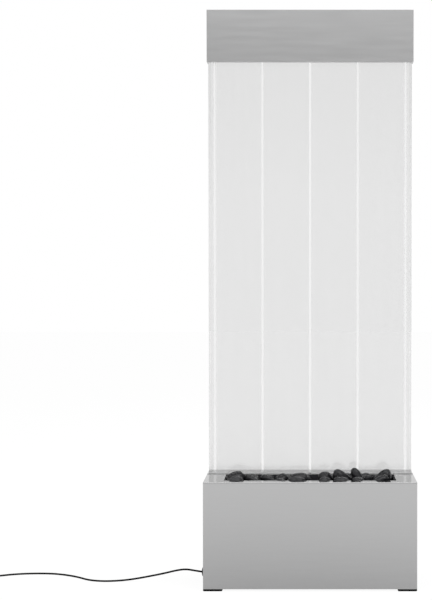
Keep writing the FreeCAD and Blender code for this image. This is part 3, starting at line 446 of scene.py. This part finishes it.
def cord_sheath():
    """Smooth black PVC with faint drawing marks."""
    s = Shader("cord_sheath")
    place = s.place()
    tone = s.noise(place, 120.0, 3.0)
    return s.principled(
        Base_Color=s.two_tone(tone, (0.002, 0.002, 0.0024), (0.004, 0.004, 0.0045)),
        Roughness=s.spread(tone, 0.5, 0.62),
        Specular_IOR_Level=0.12,
        Normal=s.bump(s.noise(place, 1500.0, 2.0), 0.15, 0.00008),
    )


def nickel():
    """Bright pins with fine turning marks."""
    s = Shader("nickel")
    rings = s.noise(s.joined(0.0, s.maths("MULTIPLY", s.split(s.place())[1], 2500.0), 0.0), 1.0, 2.0)
    return s.principled(
        Base_Color=s.two_tone(rings, (0.60, 0.585, 0.54), (0.72, 0.70, 0.65)),
        Metallic=1.0,
        Roughness=s.spread(rings, 0.16, 0.26),
    )


def give(material, *names):
    for name in names:
        slots = NODES[name].data.materials
        if not len(slots):
            slots.append(material)
        for i in range(len(slots)):
            slots[i] = material


def dress_nodes():
    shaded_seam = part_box("base_rear_cover")[0][2]
    steel = brushed_steel("brushed_steel", CANOPY_STEEL, 0.34, 0.03, 0.12)
    # the housing carries a thin painted shade line at the height where the rear cover sits on it
    base_steel = brushed_steel("brushed_steel_base", BASE_STEEL, 0.34, 0.03, 0.12, shaded_seam)
    # the cover's upright faces carry painted shade, at 0.56 of the tone of its top
    cover = brushed_steel("bright_steel", COVER_STEEL, 0.06, 0.02, 0.03, edge=0.56)
    zinc = zinc_plate()
    black = moulded("black_plastic", (0.004, 0.004, 0.0045), (0.008, 0.008, 0.0085), 0.42, shine=0.25)
    rubber = moulded("black_rubber", (0.002, 0.002, 0.002), (0.005, 0.005, 0.005), 0.75, shine=0.05)
    strip = moulded("seal_rubber", (0.10, 0.10, 0.10), (0.14, 0.14, 0.14), 0.5)
    tray = moulded("tray_plastic", (0.028, 0.027, 0.032), (0.036, 0.035, 0.041), 0.5, shine=0.25)
    grey_plastic = moulded("grey_plastic", (0.10, 0.10, 0.105), (0.13, 0.13, 0.135), 0.38)
    tank = moulded("tank_plastic", (0.014, 0.014, 0.016), (0.024, 0.024, 0.026), 0.45, 400.0)
    foam = moulded("foam", (0.018, 0.018, 0.018), (0.035, 0.035, 0.035), 0.85, 500.0, 0.8)
    white = moulded("impeller_white", (0.68, 0.68, 0.66), (0.76, 0.76, 0.74), 0.35)
    ceramic = moulded("ceramic", (0.80, 0.79, 0.76), (0.86, 0.85, 0.82), 0.14, 900.0, 0.05)
    ferrite = moulded("ferrite", (0.03, 0.03, 0.032), (0.05, 0.05, 0.052), 0.3)
    tube = clear_tube()
    give(steel, "canopy_shell")
    give(base_steel, "base_housing")
    give(cover, "base_front_cover", "base_rear_cover")
    give(strip, "cover_seal")
    give(tray, "pebble_tray")
    give(
        zinc,
        "base_floor_plate",
        "floor_screws",
        "floor_nuts",
        "panel_cradle",
        "cradle_studs",
        "cradle_nuts",
        "tray_ledges",
        "canopy_brackets",
    )
    give(
        black,
        "distribution_trough",
        "pump_body",
        "pump_strainer_cover",
        "connector_box",
        "connector_lid",
        "gland_body",
        "gland_locknut",
        "cord_tie",
        "adapter_body",
    )
    give(
        rubber,
        "rubber_feet",
        "trough_gasket",
        "canopy_pads",
        "pump_suction_cups",
        "gland_seal",
        "adapter_relief",
    )
    give(grey_plastic, "riser_nozzles", "hose_tee", "pump_outlet_nozzle", "pump_flow_dial")
    give(tank, "reservoir_tank")
    give(foam, "tank_support_blocks")
    give(tube, "hose_right", "hose_left", "pump_hose")
    give(ceramic, "pump_shaft")
    give(ferrite, "pump_magnet")
    give(white, "pump_impeller")
    give(sheet_acrylic(), "panel_front_sheet", "panel_back_sheet")
    give(rib_acrylic(), "panel_ribs")
    give(edge_acrylic(), "panel_edge_walls")
    give(nickel(), "adapter_pins")


# ---- pebbles -------------------------------------------------------------------------------------
BLUNTNESS = 2.5  # 2 is an ellipsoid, and more is a blunter pebble
STONE_FIT = 0.985  # allows for the lumps, so that a stone keeps about its ellipsoid's lengths
LUMPS = ((1.2, 0.05), (3.1, 0.012))  # noise cells over the stone's half length, and height
FLATS = 5
FLAT_REACH = (0.9, 1.0)  # how far out a flat lies, as a share of the half length
FLAT_PRESS = 0.6  # the share that a flat presses down of what stands past it
AXIS_ROUNDS = 60  # rounds of power iteration, enough for axes of nearly the same length


def loose_parts(mesh):
    """The vertices of each separate stone in the CAD mesh."""
    bm = bmesh.new()
    bm.from_mesh(mesh)
    bmesh.ops.remove_doubles(bm, verts=bm.verts, dist=1e-6)
    seen, parts = set(), []
    for first in bm.verts:
        if first in seen:
            continue
        seen.add(first)
        part, edge = [], [first]
        while edge:
            v = edge.pop()
            part.append(v.co.copy())
            for link in v.link_edges:
                other = link.other_vert(v)
                if other not in seen:
                    seen.add(other)
                    edge.append(other)
        parts.append(part)
    bm.free()
    return sorted(parts, key=lambda p: (round(p[0].x, 4), round(p[0].y, 4)))


def principal_axes(points):
    """Centre, axes and half lengths of an ellipsoid, from points on its surface, by power iteration."""
    low = Vector([min(p[i] for p in points) for i in range(3)])
    high = Vector([max(p[i] for p in points) for i in range(3)])
    centre = (low + high) / 2
    arms = [p - centre for p in points]
    spread = Matrix([[sum(arm[i] * arm[j] for arm in arms) for j in range(3)] for i in range(3)])
    long_axis = Vector((0.8, 0.5, 0.33))
    for _ in range(AXIS_ROUNDS):
        long_axis = (spread @ long_axis).normalized()
    across = Vector((0, 0, 1)).cross(long_axis).normalized()
    thin = spread.inverted_safe()
    short_axis = long_axis.cross(across)
    for _ in range(AXIS_ROUNDS):
        short_axis = thin @ short_axis
        short_axis = (short_axis - short_axis.dot(long_axis) * long_axis).normalized()
    middle_axis = short_axis.cross(long_axis)
    axes = [long_axis, middle_axis, short_axis]
    halves = [max(abs(arm.dot(axis)) for arm in arms) for axis in axes]
    return centre, axes, halves


def stone_mesh(bm, centre, axes, halves, rng):
    """One water-worn stone on its ellipsoid's axes: a blunt, softly lumpy round with a few flats."""
    flats = []
    for _ in range(FLATS):
        direction = Vector([rng.gauss(0, 1) for _ in range(3)]).normalized()
        flats.append((direction, rng.uniform(*FLAT_REACH)))
    offset = Vector([rng.uniform(-9, 9) for _ in range(3)])
    for v in bmesh.ops.create_icosphere(bm, subdivisions=5, radius=1.0)["verts"]:
        unit = v.co.normalized()
        blunt = sum(abs(c) ** BLUNTNESS for c in unit) ** (-1 / BLUNTNESS)
        r = blunt * (STONE_FIT + sum(height * noise.noise(unit * cells + offset) for cells, height in LUMPS))
        for direction, reach in flats:
            over = unit.dot(direction) * r - reach
            if over > 0:
                r -= over * FLAT_PRESS
        local = unit * r
        v.co = centre + sum((axis * (c * h) for axis, c, h in zip(axes, local, halves)), Vector())


def add_pebbles(material):
    rng = random.Random(11)
    for i, points in enumerate(loose_parts(NODES["river_pebbles"].data)):
        centre, axes, halves = principal_axes(points)
        bm = bmesh.new()
        stone_mesh(bm, centre, axes, halves, rng)
        mesh = bpy.data.meshes.new(f"pebble_{i + 1}")
        for face in bm.faces:
            face.smooth = True
        bm.to_mesh(mesh)
        bm.free()
        stone = bpy.data.objects.new(f"pebble_{i + 1}", mesh)
        bpy.context.scene.collection.objects.link(stone)
        mesh.materials.append(material)
        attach(stone, "tray")
        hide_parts("river_pebbles")


# ---- stage ---------------------------------------------------------------------------------------
WORLD_LIGHT = 0.66
BAND_LEVEL = 0.3  # what mirror rays find above the horizon, and straight overhead; the horizon is 1
CEILING_LEVEL = 0.7
BAND_HEIGHTS = (0.05, 0.24)  # heights of a ray's direction where the horizon turns into the band
CEILING_HEIGHTS = (0.45, 0.75)  # and the band into the ceiling
FLOOR_HALF = 12.0
FLOOR_GLOW = 0.91  # with the light on its dark diffuse part, the floor looks white, and shadows show
FLOOR_SHADOWED = 0.12
FLOOR_PALE = 0.8  # the floor's colour for the light that it throws on the object
NEAR_SHADED_GLOW = 0.54  # the glow that mirror rays find near the object, dimmed there as painted shade, and far from it
FAR_GLOW = 1.07
SHADE_FADE_DISTANCES = (0.1, 1.3)
LAMPS = {  # place, the point it faces, width, height, power
    "key": ((2.1, -2.7, 2.9), (0, 0, 0.6), 2.2, 2.2, 25),
    "fill": ((-2.4, -1.6, 1.6), (0, 0, 0.5), 2.0, 2.0, 7),
    "back": ((0.6, 2.4, 2.4), (0, 0, 0.6), 2.2, 1.6, 9),
    "head": ((0.1, -0.75, 1.75), (0, 0, 1.05), 1.6, 0.9, 7.0),
}


def seen_directly(s):
    """1 for camera, mirror and see-through rays, which show the plain white background."""
    path = s.add("LightPath").outputs
    plain = s.maths("MAXIMUM", path["Is Camera Ray"], path["Is Transmission Ray"])
    return s.maths("MAXIMUM", plain, path["Is Glossy Ray"])


def add_world():
    """White to look at; mirror rays find a dimmer band above the horizon and a grey ceiling overhead."""
    world = bpy.data.worlds.new("studio")
    bpy.context.scene.world = world
    world.use_nodes = True
    s = Shader.within(world.node_tree)
    height = s.split(s.add("TexCoord").outputs["Generated"])[2]
    ceiling = s.ranged(height, *CEILING_HEIGHTS, BAND_LEVEL, CEILING_LEVEL)
    overhead = s.ranged(height, *BAND_HEIGHTS, 1.0, ceiling)
    strength = s.blend(s.add("LightPath").outputs["Is Glossy Ray"], 1.0, overhead)
    soft = s.add("Background", {"Color": (1, 1, 1, 1), "Strength": WORLD_LIGHT}).outputs[0]
    white = s.add("Background", {"Color": (1, 1, 1, 1), "Strength": strength}).outputs[0]
    s.add("OutputWorld", {"Surface": s.mixed(seen_directly(s), soft, white)})


def add_floor():
    corners = [(x * FLOOR_HALF, y * FLOOR_HALF, 0) for x, y in ((-1, -1), (1, -1), (1, 1), (-1, 1))]
    mesh = bpy.data.meshes.new("floor")
    mesh.from_pydata(corners, [], [(0, 1, 2, 3)])
    floor = bpy.data.objects.new("floor", mesh)
    bpy.context.scene.collection.objects.link(floor)
    s = Shader("floor_white")
    out = s.add("VectorMath", {0: s.place()}, operation="LENGTH").outputs["Value"]
    # painted shade on the floor: mirror rays find it dim close to the object, brightening out to its far
    # glow
    mirrored = s.ranged(out, *SHADE_FADE_DISTANCES, NEAR_SHADED_GLOW, FAR_GLOW)
    strength = s.blend(s.add("LightPath").outputs["Is Camera Ray"], mirrored, FLOOR_GLOW)
    pale = s.add("BsdfDiffuse", {"Color": (FLOOR_PALE, FLOOR_PALE, FLOOR_PALE, 1)}).outputs[0]
    dark = s.add("BsdfDiffuse", {"Color": (FLOOR_SHADOWED, FLOOR_SHADOWED, FLOOR_SHADOWED, 1)}).outputs[0]
    glow = s.add("Emission", {"Strength": strength}).outputs[0]
    white = s.add("AddShader", {0: dark, 1: glow}).outputs[0]
    mesh.materials.append(s.finish(s.mixed(seen_directly(s), pale, white)))


def add_lamps():
    for name, (place, aim, width, height, power) in LAMPS.items():
        data = bpy.data.lights.new(name, "AREA")
        data.shape = "RECTANGLE"
        data.size = width
        data.size_y = height
        data.energy = power
        lamp = bpy.data.objects.new(name, data)
        lamp.location = place
        lamp.rotation_euler = (Vector(aim) - Vector(place)).to_track_quat("-Z", "Y").to_euler()
        bpy.context.scene.collection.objects.link(lamp)


add_camera()
add_cord(cord_sheath())
dress_nodes()
give(cord_sheath(), "pump_cable", "inner_lead")
add_pebbles(pebble_stone())
add_world()
add_floor()
add_lamps()
bpy.context.scene.view_settings.view_transform = "Standard"
